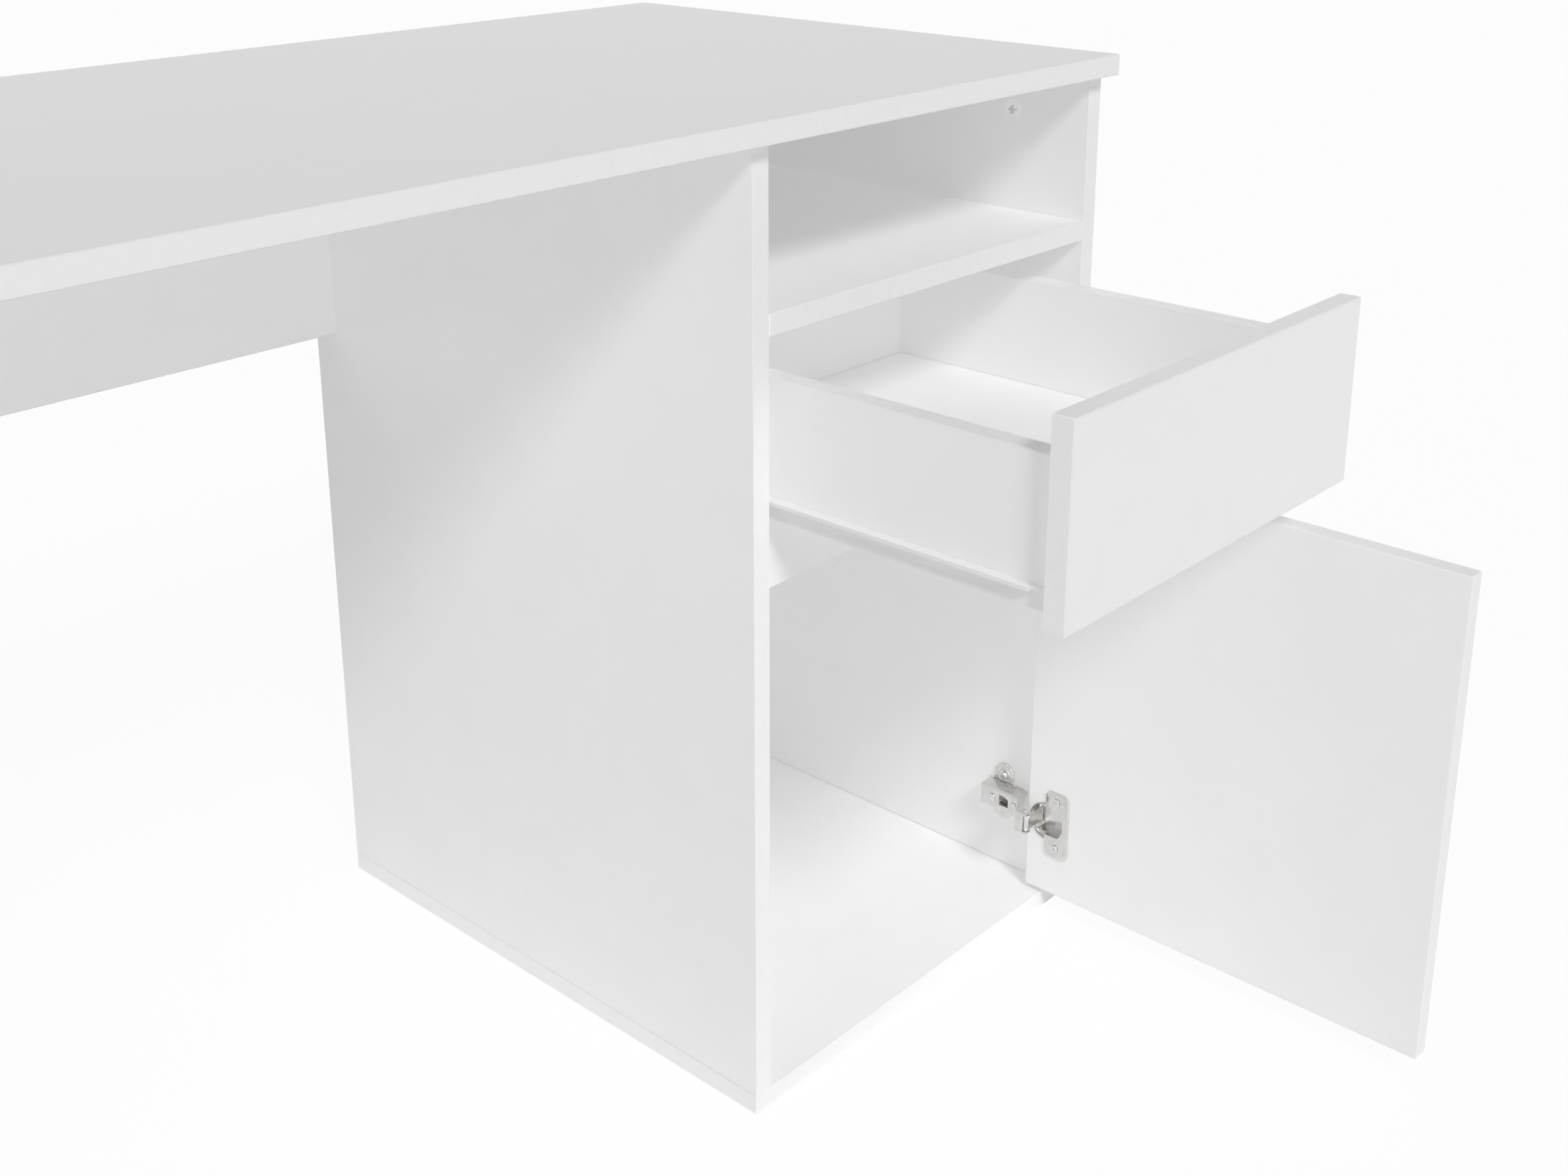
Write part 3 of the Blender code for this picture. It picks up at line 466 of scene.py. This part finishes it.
def turned_ring(profile, centre, along, sides=48):
    """Ring turned about an axis. profile is a closed loop of (distance along the axis,
    radius) pairs."""
    shape = bmesh.new()
    turn = Vector((0, 0, 1)).rotation_difference(Vector(along)).to_matrix()
    rings = []
    for step, radius in profile:
        ring = []
        for i in range(sides):
            angle = math.tau * i / sides
            spot = Vector((radius * math.cos(angle), radius * math.sin(angle), step))
            ring.append(shape.verts.new(Vector(centre) + turn @ spot))
        rings.append(ring)
    for near, far in zip(rings, rings[1:] + rings[:1]):
        for i in range(sides):
            j = (i + 1) % sides
            shape.faces.new((near[i], near[j], far[j], far[i]))
    bmesh.ops.recalc_face_normals(shape, faces=shape.faces)
    return shape


def join_shapes(shapes):
    whole = bmesh.new()
    for shape in shapes:
        loose = bpy.data.meshes.new("loose")
        shape.to_mesh(loose)
        shape.free()
        whole.from_mesh(loose)
        bpy.data.meshes.remove(loose)
    return whole


def stands_for(piece, body, slot, *nodes):
    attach(piece, body)
    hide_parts(*nodes)


# ---------------------------------------------------------------- geometry nodes

class Shaper(Nodes):
    """A geometry tree with named inputs, whose result is kept as a plain mesh."""

    def __init__(self, name, **inputs):
        super().__init__(bpy.data.node_groups.new(name, "GeometryNodeTree"))
        ports = self.tree.interface
        ports.new_socket("Geometry", in_out="INPUT", socket_type="NodeSocketGeometry")
        ports.new_socket("Geometry", in_out="OUTPUT", socket_type="NodeSocketGeometry")
        for label, kind in inputs.items():
            ports.new_socket(label, in_out="INPUT", socket_type=f"NodeSocket{kind}")
        self.entry = self.node("NodeGroupInput")

    def given(self, label):
        return Value(self, self.entry.outputs[label])

    def out(self, kind, settings=None, values=None, output=0):
        return self.node(kind, settings, values).outputs[output]

    def vector(self, x=0.0, y=0.0, z=0.0):
        return self.out("ShaderNodeCombineXYZ", values={0: x, 1: y, 2: z})

    def moved(self, geometry, **place):
        return self.out("GeometryNodeTransform",
                        values={"Geometry": geometry, **place})

    def joined(self, *parts):
        made = self.node("GeometryNodeJoinGeometry")
        for part in parts:
            self.tree.links.new(part, made.inputs[0])
        return made.outputs[0]

    def close(self, geometry):
        whole = self.out("GeometryNodeRealizeInstances", values={0: geometry})
        named = self.out("GeometryNodeSetMaterial",
                         values={"Geometry": whole, "Material": self.given("Finish")})
        exit_node = self.node("NodeGroupOutput")
        self.tree.links.new(named, exit_node.inputs[0])

    def run(self, name, source, **settings):
        """Plain mesh object of the tree's result on the source mesh."""
        holder = bpy.data.objects.new(name, source)
        bpy.context.scene.collection.objects.link(holder)
        shaper = holder.modifiers.new("shape", "NODES")
        shaper.node_group = self.tree
        for item in self.tree.interface.items_tree:
            if item.name in settings:
                shaper[item.identifier] = settings[item.name]
        graph = bpy.context.evaluated_depsgraph_get()
        mesh = bpy.data.meshes.new_from_object(holder.evaluated_get(graph),
                                               preserve_all_data_layers=True,
                                               depsgraph=graph)
        holder.modifiers.clear()
        holder.data = mesh
        return holder


def spots_mesh(name, spots):
    """Mesh of loose points, each with the direction that its fastener goes in."""
    mesh = bpy.data.meshes.new(name)
    mesh.from_pydata([spot for spot, _ in spots], [], [])
    into = mesh.attributes.new("into", "FLOAT_VECTOR", "POINT")
    for i, (_, way) in enumerate(spots):
        into.data[i].vector = way
    return mesh


def on_each_spot(tree, thing):
    """Puts the thing, made with its head towards +Z, on each point."""
    into = tree.out("GeometryNodeInputNamedAttribute", {"data_type": "FLOAT_VECTOR"},
                    {"Name": "into"})
    away = tree.out("ShaderNodeVectorMath", {"operation": "SCALE"},
                    {"Vector": into, "Scale": -1.0})
    turn = tree.out("FunctionNodeAlignRotationToVector", {"axis": "Z"}, {"Vector": away})
    return tree.out("GeometryNodeInstanceOnPoints",
                    values={"Points": tree.entry.outputs["Geometry"], "Instance": thing,
                            "Rotation": turn})


def screw_tree():
    """Domed screw with a cross or a slot in its head and a thread on its shank."""
    tree = Shaper("fastening_screws", Head_Radius="Float", Head_Height="Float",
                  Length="Float", Shank_Radius="Float", Cross="Bool", Turn="Float",
                  Finish="Material")
    radius = tree.given("Head_Radius")
    height = tree.given("Head_Height")
    length = tree.given("Length")
    shank = tree.given("Shank_Radius")
    dome = tree.out("GeometryNodeMeshUVSphere",
                    values={"Segments": 32, "Rings": 16, "Radius": 1.0})
    dome = tree.moved(dome, Scale=tree.vector(radius, radius, height))
    below = tree.out("GeometryNodeMeshCube", values={"Size": (1.0, 1.0, 1.0)})
    below = tree.moved(below, Scale=tree.vector(radius * 3, radius * 3, height * 2),
                       Translation=tree.vector(0.0, 0.0, height * -1 + 0.05 * MM))
    slot = tree.out("GeometryNodeMeshCube", values={"Size": (1.0, 1.0, 1.0)})
    wide = radius * 1.25
    narrow = radius * 0.24
    deep = height * 1.1
    first = tree.moved(slot, Scale=tree.vector(wide, narrow, deep),
                       Translation=tree.vector(0.0, 0.0, height * 0.95))
    second = tree.moved(slot, Scale=tree.vector(narrow, wide, deep),
                        Translation=tree.vector(0.0, 0.0, height * 0.95))
    cross = tree.out("GeometryNodeSwitch", {"input_type": "GEOMETRY"},
                     {"Switch": tree.given("Cross"), "True": second})
    head = tree.node("GeometryNodeMeshBoolean", {"operation": "DIFFERENCE"},
                     {"Mesh 1": dome})
    for cutter in (below, first, cross):
        tree.tree.links.new(cutter, head.inputs["Mesh 2"])
    washer = tree.out("GeometryNodeMeshCylinder",
                      values={"Vertices": 32, "Radius": radius, "Depth": height * 0.25})
    turn = tree.vector(0.0, 0.0, tree.given("Turn"))
    head = tree.moved(head.outputs[0], Rotation=turn)
    core = tree.out("GeometryNodeMeshCone",
                    values={"Vertices": 20, "Radius Top": shank, "Radius Bottom": shank * 0.35,
                            "Depth": length})
    core = tree.moved(core, Translation=tree.vector(0.0, 0.0, length * -1))
    helix = tree.out("GeometryNodeCurveSpiral",
                     values={"Resolution": 14, "Rotations": length / THREAD_PITCH,
                             "Start Radius": shank * 0.5, "End Radius": shank,
                             "Height": length * 0.9})
    helix = tree.moved(helix, Translation=tree.vector(0.0, 0.0, length * -0.95))
    ridge = tree.out("GeometryNodeCurvePrimitiveCircle",
                     values={"Resolution": 3, "Radius": THREAD_RADIUS})
    thread = tree.out("GeometryNodeCurveToMesh",
                      values={"Curve": helix, "Profile Curve": ridge, "Fill Caps": True})
    whole = tree.joined(head, washer, core, thread)
    whole = tree.out("GeometryNodeSetShadeSmooth",
                     values={"Geometry": whole, "Shade Smooth": False})
    tree.close(on_each_spot(tree, whole))
    return tree


def cam_lock_tree():
    """Round cam drum with a chamfered rim, a cross recess and a turned ring."""
    tree = Shaper("cam_locks", Radius="Float", Depth="Float", Recess="Float",
                  Finish="Material")
    radius = tree.given("Radius")
    depth = tree.given("Depth")
    recess = tree.given("Recess")
    rim = CAM_RIM
    drum = tree.out("GeometryNodeMeshCylinder",
                    values={"Vertices": 48, "Radius": radius, "Depth": depth - rim})
    drum = tree.moved(drum, Translation=tree.vector(0.0, 0.0, depth * -0.5 - rim / 2))
    lip = tree.out("GeometryNodeMeshCone",
                   values={"Vertices": 48, "Radius Top": radius - rim,
                           "Radius Bottom": radius, "Depth": rim})
    lip = tree.moved(lip, Translation=tree.vector(0.0, 0.0, -rim))
    body = tree.node("GeometryNodeMeshBoolean", {"operation": "UNION"})
    for part in (drum, lip):
        tree.tree.links.new(part, body.inputs["Mesh 2"])
    bar = tree.out("GeometryNodeMeshCube", values={"Size": (1.0, 1.0, 1.0)})
    # The recess cutters carry the mark that the finish turns into painted shade.
    bar = tree.out("GeometryNodeStoreNamedAttribute", {"data_type": "FLOAT", "domain": "FACE"},
                   {"Geometry": bar, "Name": RECESS_SHADE_MARK, "Value": 1.0})
    cuts = tree.node("GeometryNodeMeshBoolean", {"operation": "DIFFERENCE"},
                     {"Mesh 1": body.outputs[0]})
    narrow = recess * 0.3
    flared = recess * 0.62
    short = recess * 0.26
    reach = recess - short / 2
    deep = depth * 0.4
    for size, place in (((recess * 2, narrow), (0.0, 0.0)),
                        ((narrow, recess * 2), (0.0, 0.0)),
                        ((short, flared), (reach, 0.0)), ((short, flared), (-1 * reach, 0.0)),
                        ((flared, short), (0.0, reach)), ((flared, short), (0.0, -1 * reach))):
        arm = tree.moved(bar, Scale=tree.vector(*size, deep),
                         Translation=tree.vector(*place, 0.0))
        tree.tree.links.new(arm, cuts.inputs["Mesh 2"])
    ring_line = tree.out("GeometryNodeCurvePrimitiveCircle",
                         values={"Resolution": 48, "Radius": radius * 0.8})
    ring_cut = tree.out("GeometryNodeCurvePrimitiveCircle",
                        values={"Resolution": 8, "Radius": CAM_RING})
    groove = tree.out("GeometryNodeCurveToMesh",
                      values={"Curve": ring_line, "Profile Curve": ring_cut})
    tree.tree.links.new(groove, cuts.inputs["Mesh 2"])
    tree.close(on_each_spot(tree, cuts.outputs[0]))
    return tree


# ---------------------------------------------------------------- pieces

def dress_boards():
    for node in BOARDS:
        set_finish(node, board_finish(node))
    thin = fibreboard_finish()
    for node in THIN_SHEETS:
        set_finish(node, thin)


def set_finish(node, surface):
    for slot in frame["nodes"][node].material_slots:
        slot.material = surface


def body_of_node(node):
    for body, nodes in frame["record"]["behaviour"]["bodies"].items():
        if node in nodes:
            return body
    raise KeyError(node)


def middle(node):
    low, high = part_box(node)
    return (low + high) / 2


def screw_spots(nodes, way, height):
    """Point under each screw's head, where it meets what it holds."""
    way = Vector(way)
    spots = []
    for node in nodes:
        low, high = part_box(node)
        centre = (low + high) / 2
        half = Vector([abs(way[i]) * (high[i] - low[i]) / 2 for i in range(3)])
        head_end = centre - Vector([way[i] * half[i] for i in range(3)])
        spots.append((head_end + way * height, way))
    return spots


def make_screws(bright, pale):
    """Bright screws in the hinges and fixed runners, coated ones in the drawer's."""
    tree = screw_tree()

    def make(name, nodes, way, size, surface, cross=True, turn=0.4):
        radius, height, length = size
        spots = screw_spots(nodes, way, height)
        piece = tree.run(name, spots_mesh(name, spots), Head_Radius=radius,
                         Head_Height=height, Length=length, Shank_Radius=SHANK_RADIUS,
                         Cross=cross, Turn=turn, Finish=surface)
        stands_for(piece, body_of_node(nodes[0]), "zinc_screw", *nodes)

    # The door stands open, so the screws in its cups point along +X too.
    into_side = (1, 0, 0)
    both = ("top", "bottom")
    make("plate_screws", [f"hinge_{h}_plate_screw_{e}" for h in HINGES for e in both],
         into_side, PLATE_SCREW, bright, turn=0.25)
    make("cup_screws", [f"hinge_{h}_cup_screw_{e}" for h in HINGES for e in both],
         into_side, CUP_SCREW, bright)
    make("arm_adjusting_screws", [f"hinge_{h}_arm_screw_front" for h in HINGES],
         into_side, ADJUSTING_SCREW, bright, turn=0.7)
    make("arm_clamping_screws", [f"hinge_{h}_arm_screw_back" for h in HINGES],
         into_side, CLAMPING_SCREW, bright, cross=False, turn=0.9)
    for side, way in (("left", 1), ("right", -1)):
        make(f"drawer_runner_screws_{side}",
             [f"drawer_runner_{side}_screw_{i}" for i in (1, 2)], (way, 0, 0),
             DRAWER_RUNNER_SCREW, pale)
        make(f"fixed_runner_screws_{side}",
             [f"fixed_runner_{side}_screw_{i}" for i in (1, 2)], (-way, 0, 0),
             FIXED_RUNNER_SCREW, bright)


def make_cam_locks(surface):
    spots = []
    nodes = []
    for place, way in (("left", -1), ("right", 1), ("end", -1)):
        for end in ("front", "back"):
            node = f"cam_lock_{place}_{end}"
            low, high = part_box(node)
            centre = (low + high) / 2
            face_x = (high.x if way < 0 else low.x) - way * CAM_RISE
            spots.append((Vector((face_x, centre.y, centre.z)), Vector((way, 0, 0))))
            nodes.append(node)
    low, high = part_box(nodes[0])
    piece = cam_lock_tree().run(
        "cam_locks", spots_mesh("cam_locks", spots),
        Radius=(high.z - low.z) / 2 + CAM_GROW, Depth=high.x - low.x,
        Recess=CROSS_REACH, Finish=surface)
    stands_for(piece, "desk", "white_cam", *nodes)


def boss(spot, way, radius, height):
    """Raised ring pressed up round a screw hole."""
    profile = []
    for i in range(12):
        angle = math.tau * i / 12
        profile.append((height * math.sin(angle), radius + height * 1.6 * math.cos(angle)))
    return turned_ring(profile, spot, way, 40)


def make_hinges(plating):
    """Each hinge's pressed parts, with raised rings round its plate's screws."""
    bodies = {"plate": "desk", "arm": "desk", "link": "desk", "cup": "door", "pin": "door"}
    for hinge in HINGES:
        for part, body in bodies.items():
            name = f"hinge_{hinge}_{part}"
            piece = new_piece(name + "_pressed", merged_copy(name), plating)
            pressed_edges(piece, PRESSED_EDGES[part], 3 if part == "plate" else 2)
            apply_modifiers(piece)
            stands_for(piece, body, "nickel_steel", name)

        name = f"hinge_{hinge}_plate"
        face_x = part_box(name)[1].x - PLATE_THICK
        rings = []
        for end in ("top", "bottom"):
            spot = middle(f"{name}_screw_{end}")
            rings.append(boss(Vector((face_x, spot.y, spot.z)), (-1, 0, 0),
                              BOSS_RADIUS, BOSS_HEIGHT))
        beads = new_piece(name + "_bosses", join_shapes(rings), plating)
        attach(beads, "desk")


def wedge(points, low, high):
    """Prism over a plan outline, between two heights."""
    shape = bmesh.new()
    near = [shape.verts.new((x, y, low)) for x, y in points]
    far = [shape.verts.new((x, y, high)) for x, y in points]
    shape.faces.new(list(reversed(near)))
    shape.faces.new(far)
    for i in range(len(points)):
        j = (i + 1) % len(points)
        shape.faces.new((near[i], near[j], far[j], far[i]))
    bmesh.ops.recalc_face_normals(shape, faces=shape.faces)
    return shape


def taper_front(runner, low, high, way, surface):
    """Cuts the front of a drawer runner's flange back at a slant."""
    outer = low.x if way > 0 else high.x
    beyond = MM
    outline = [(outer - way * beyond, low.y - beyond),
               (outer + way * FLANGE_REACH, low.y - beyond),
               (outer + way * FLANGE_REACH, low.y + 2 * MM),
               (outer - way * beyond, low.y + FLANGE_TAPER)]
    shape = wedge(outline, low.z - beyond, high.z + beyond)
    cutter = new_piece("taper_cutter", shape, surface)
    taper = runner.modifiers.new("taper", "BOOLEAN")
    taper.object = cutter
    taper.solver = "EXACT"
    apply_modifiers(runner)
    bpy.data.objects.remove(cutter)


def roller_shape(low, high):
    """Roller with rounded treads, a dished ring in each end and a bore for its axle."""
    radius = (high.z - low.z) / 2
    width = high.x - low.x
    tread = ROLLER_TREAD
    half = [(0.0, ROLLER_BORE), (0.0, radius * 0.52), (ROLLER_DISH, radius * 0.58),
            (ROLLER_DISH, radius * 0.8), (0.0, radius * 0.86), (0.0, radius - tread),
            (tread * 0.3, radius - tread * 0.3), (tread, radius)]
    other = [(width - step, reach) for step, reach in reversed(half)]
    centre = (low + high) / 2
    return turned_ring(half + other, (low.x, centre.y, centre.z), (1, 0, 0))


def make_runners(coating, nylon):
    for side, way in (("left", 1), ("right", -1)):
        name = f"drawer_runner_{side}"
        runner = new_piece(name + "_folded", merged_copy(name), coating)
        taper_front(runner, *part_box(name), way, coating)
        pressed_edges(runner, FOLD)
        apply_modifiers(runner)
        stands_for(runner, "drawer", "coated_steel", name)

        name = f"fixed_runner_{side}"
        runner = new_piece(name + "_folded", merged_copy(name), coating)
        pressed_edges(runner, TRACK_FOLD, 2)
        apply_modifiers(runner)
        stands_for(runner, "desk", "coated_steel", name)

        for kind in ("fixed", "drawer"):
            name = f"{kind}_roller_{side}"
            roller = new_piece(name + "_moulded", roller_shape(*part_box(name)), nylon)
            stands_for(roller, f"{name}_body", "white_nylon", name)


# ---------------------------------------------------------------- room and camera

def seen_directly(nodes):
    """1 for what the view, a reflection or glass shows, and 0 for light that spreads."""
    rays = nodes.node("ShaderNodeLightPath")
    return (Value(nodes, rays.outputs["Is Camera Ray"])
            .most(Value(nodes, rays.outputs["Is Glossy Ray"]))
            .most(Value(nodes, rays.outputs["Is Transmission Ray"])))


def make_room():
    """White surroundings that light the desk only a little, and a floor for its shadow."""
    scene = bpy.context.scene
    world = bpy.data.worlds.new("pale_studio")
    scene.world = world
    world.use_nodes = True
    room = Nodes(world.node_tree)
    backdrop = room.tree.nodes["Background"]
    seen = seen_directly(room)
    backdrop.inputs["Color"].default_value = (1.0, 1.0, 1.0, 1.0)
    room.feed(backdrop.inputs["Strength"], seen * (1.0 - SKY) + SKY)

    shape = bmesh.new()
    bmesh.ops.create_grid(shape, x_segments=2, y_segments=2, size=FLOOR_HALF)
    bmesh.ops.translate(shape, verts=shape.verts, vec=(0, 0, -FLOOR_DROP))
    finish = Finish("pale_floor", Roughness=0.9, Specular_IOR_Level=0.1)
    finish.base(finish.tint(finish.noise(0.4, 2.0), 0.90, 0.88))
    seen = seen_directly(finish)
    white = finish.node("ShaderNodeEmission", values={"Color": (1, 1, 1, 1)})
    blend = finish.node("ShaderNodeMixShader", values={0: seen * FLOOR_WHITE})
    output = finish.tree.nodes["Material Output"]
    finish.tree.links.new(finish.shader.outputs[0], blend.inputs[1])
    finish.tree.links.new(white.outputs[0], blend.inputs[2])
    finish.tree.links.new(blend.outputs[0], output.inputs["Surface"])
    floor = new_piece("floor", shape, finish.material)


def add_sun(name, way, strength, angle, casts_shadow=True):
    lamp = bpy.data.lights.new(name, "SUN")
    lamp.energy = strength
    lamp.angle = angle
    lamp.use_shadow = casts_shadow
    holder = bpy.data.objects.new(name, lamp)
    holder.location = (0.0, 0.0, 3.0)
    holder.rotation_mode = "QUATERNION"
    holder.rotation_quaternion = Vector(way).to_track_quat("-Z", "Y")
    bpy.context.scene.collection.objects.link(holder)


def make_lamps():
    """One sun for the shadows, a wide soft one, and even fill from each side."""
    add_sun("key_sun", SUN_WAY, SUN_STRENGTH, SUN_ANGLE)
    add_sun("soft_box", SOFT_BOX_WAY, SOFT_BOX_STRENGTH, SOFT_BOX_ANGLE)
    for name, way, strength in FILLS:
        add_sun(name, way, strength, FILL_ANGLE, casts_shadow=False)


def make_camera():
    camera = bpy.data.cameras.new("view")
    camera.lens = LENS
    camera.sensor_width = 36.0
    camera.shift_x, camera.shift_y = SHIFT
    camera.clip_start = 0.05
    camera.clip_end = 60.0
    holder = bpy.data.objects.new("view", camera)
    right = VIEW_RIGHT.normalized()
    ahead = VIEW_WAY.normalized()
    up = right.cross(ahead).normalized()
    turn = Matrix((right, up, -ahead)).transposed().to_4x4()
    holder.matrix_world = Matrix.Translation(VIEW_FROM) @ turn
    bpy.context.scene.collection.objects.link(holder)
    bpy.context.scene.camera = holder


def main():
    bpy.context.scene.view_settings.view_transform = "Standard"
    make_camera()
    make_room()
    make_lamps()
    plating = plated_finish("nickel_plating", (0.66, 0.655, 0.64), (0.76, 0.755, 0.745),
                            0.24, (0.25, 1.0, 1.0))
    zinc = plated_finish("bright_zinc", (0.68, 0.69, 0.70), (0.78, 0.78, 0.79), 0.26)
    nylon = moulded_finish("white_nylon", (0.80, 0.80, 0.79), (0.74, 0.74, 0.72))
    # 0.60 is the painted shade colour of the cam locks' cross recesses.
    moulded = moulded_finish("white_moulded_plastic", 0.855, 0.84, 0.60)
    dress_boards()
    make_hinges(plating)
    coating = coated_finish()
    make_runners(coating, nylon)
    make_screws(zinc, coating)
    make_cam_locks(moulded)


main()
